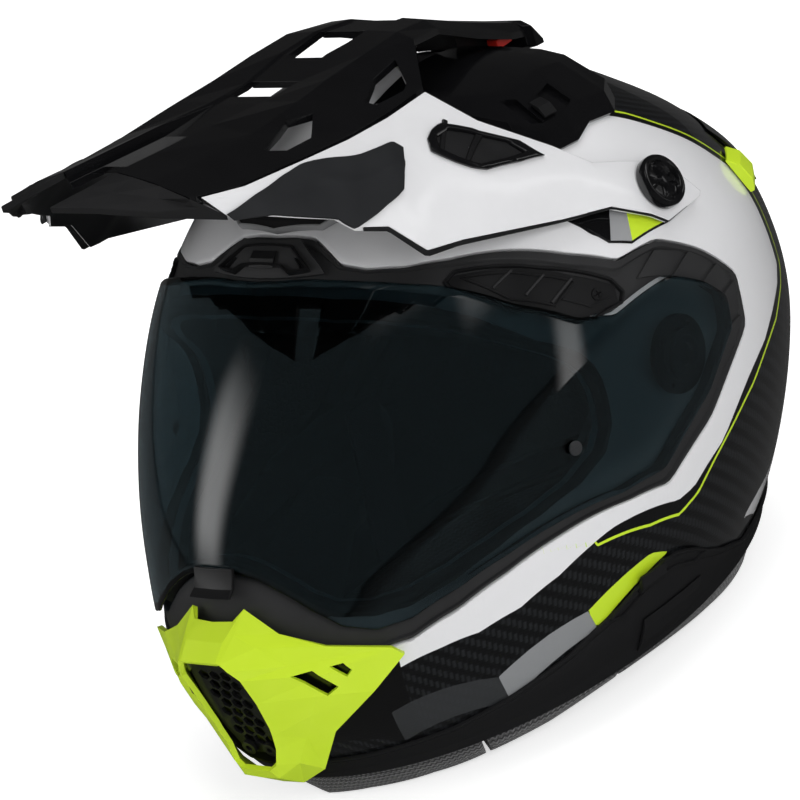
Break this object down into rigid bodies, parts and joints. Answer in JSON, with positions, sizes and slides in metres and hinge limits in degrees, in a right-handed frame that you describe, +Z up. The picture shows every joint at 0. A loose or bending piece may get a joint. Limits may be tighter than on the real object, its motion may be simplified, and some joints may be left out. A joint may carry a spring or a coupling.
{
  "type": "enduro_helmet",
  "caption": "Full-face enduro helmet with a long glossy peak, wide smoked visor, inner sun visor, lime chin guard and dark knitted lining, standing on its neck roll.",
  "frame": {"origin": "centre of the bounding box on the table plane under the neck roll", "axes": "wearer looks along -Y, wearer's left is +X, up is +Z"},
  "size_m": [0.2572, 0.3825, 0.3055],
  "materials": {
    "shell_paint": "glossy clear-coated paint",
    "trim_black": "matt charcoal moulding",
    "gloss_black": "gloss black moulding",
    "lime_plastic": "satin lime moulding",
    "small_black": "satin black moulding",
    "smoked_visor": "smoked clear polycarbonate",
    "dark_lens": "dark smoked polycarbonate",
    "black_rubber": "soft matt rubber",
    "bright_steel": "bright plated steel",
    "reflective_inlay": "grey and lime decal under clear coat",
    "red_plastic": "red moulding",
    "foam": "expanded polystyrene, dark coated",
    "knit": "dark knitted fabric",
    "webbing": "black woven webbing"
  },
  "bodies": {
    "root": {"outer_shell": "shell_paint", "base_trim": "black_rubber", "eyeport_trim": "trim_black", "eyeport_gasket": "black_rubber", "base_plate_left": "small_black", "base_plate_right": "small_black", "sun_visor_pins": "bright_steel", "chin_guard": "lime_plastic", "chin_mesh": "trim_black", "chin_bolts": "bright_steel", "brow_vent": "trim_black", "brow_scoop": "gloss_black", "side_vent_left": "trim_black", "side_vent_right": "trim_black", "peak": "gloss_black", "peak_lips": "trim_black", "peak_arm_left": "shell_paint", "peak_arm_right": "shell_paint", "peak_panel_left": "trim_black", "peak_panel_right": "trim_black", "arm_vent_left": "gloss_black", "arm_vent_right": "gloss_black", "peak_bosses": "trim_black", "arm_inlay_left": "reflective_inlay", "arm_inlay_right": "reflective_inlay", "peak_tail_cap": "gloss_black", "peak_tail_mount": "trim_black", "crown_vent_left": "gloss_black", "crown_vent_right": "gloss_black", "rear_spoiler": "gloss_black", "eps_liner": "foam", "crown_pad": "knit", "cheek_pad_left": "knit", "cheek_pad_right": "knit", "chin_curtain": "knit", "neck_roll_left": "knit", "neck_roll_right": "knit", "neck_roll_rear": "knit", "roll_tabs": "black_rubber", "strap_left": "webbing", "strap_right": "webbing", "buckle_body": "small_black"},
    "visor_body": {"visor": "smoked_visor", "visor_hubs": "small_black", "visor_tab": "small_black", "visor_pins": "bright_steel"},
    "sun_visor_body": {"sun_visor": "dark_lens"},
    "sun_slider_body": {"sun_visor_slider": "small_black"},
    "brow_slider_body": {"brow_vent_slider": "small_black"},
    "chin_slider_body": {"chin_vent_slider": "small_black"},
    "crown_slider_left_body": {"crown_slider_left": "small_black"},
    "crown_slider_right_body": {"crown_slider_right": "small_black"},
    "rear_slider_left_body": {"rear_slider_left": "lime_plastic"},
    "rear_slider_right_body": {"rear_slider_right": "lime_plastic"},
    "knob_left_body": {"peak_knob_left": "gloss_black"},
    "knob_right_body": {"peak_knob_right": "gloss_black"},
    "release_body": {"peak_release": "red_plastic"},
    "lever_body": {"buckle_lever": "red_plastic"}
  },
  "joints": [
    {"name": "visor_turn", "type": "hinge", "parent": "root", "child": "visor_body", "pos_m": [0, 0.022, 0.135], "axis": [-1, 0, 0], "range_deg": [0, 40]},
    {"name": "sun_visor_turn", "type": "hinge", "parent": "root", "child": "sun_visor_body", "pos_m": [0, 0.037, 0.135], "axis": [1, 0, 0], "range_deg": [0, 38]},
    {"name": "sun_slider_move", "type": "slide", "parent": "root", "child": "sun_slider_body", "axis": [0.0724, 0.9852, -0.1553], "range_m": [0, 0.02]},
    {"name": "brow_slider_move", "type": "slide", "parent": "root", "child": "brow_slider_body", "axis": [1, 0, 0], "range_m": [-0.003, 0.003]},
    {"name": "chin_slider_move", "type": "slide", "parent": "root", "child": "chin_slider_body", "axis": [0, 0.0491, -0.9988], "range_m": [0, 0.004]},
    {"name": "crown_slider_left_move", "type": "slide", "parent": "root", "child": "crown_slider_left_body", "axis": [0.1182, 0.9915, -0.0543], "range_m": [-0.005, 0]},
    {"name": "crown_slider_right_move", "type": "slide", "parent": "root", "child": "crown_slider_right_body", "axis": [-0.1182, 0.9915, -0.0543], "range_m": [-0.005, 0]},
    {"name": "rear_slider_left_move", "type": "slide", "parent": "root", "child": "rear_slider_left_body", "axis": [0.1377, 0.39, -0.9105], "range_m": [0, 0.005]},
    {"name": "rear_slider_right_move", "type": "slide", "parent": "root", "child": "rear_slider_right_body", "axis": [-0.1377, 0.39, -0.9105], "range_m": [0, 0.005]},
    {"name": "knob_left_turn", "type": "hinge", "parent": "root", "child": "knob_left_body", "pos_m": [0.11736, 0.04458, 0.20401], "axis": [0.8995, 0.1202, 0.42], "range_deg": [0, 90]},
    {"name": "knob_right_turn", "type": "hinge", "parent": "root", "child": "knob_right_body", "pos_m": [-0.11736, 0.04458, 0.20401], "axis": [0.8995, -0.1202, -0.42], "range_deg": [0, 90]},
    {"name": "release_press", "type": "slide", "parent": "root", "child": "release_body", "axis": [-1, 0, 0], "range_m": [0, 0.003], "stiffness_N_per_m": 400},
    {"name": "lever_turn", "type": "hinge", "parent": "root", "child": "lever_body", "pos_m": [0.05912, 0.00438, 0.03737], "axis": [0, -1, 0], "range_deg": [0, 50], "stiffness_Nm_per_rad": 0.05}
  ],
  "couplings": [
    {"joint": "sun_slider_move", "follows": "sun_visor_turn", "m_per_rad": 0.030155}
  ]
}
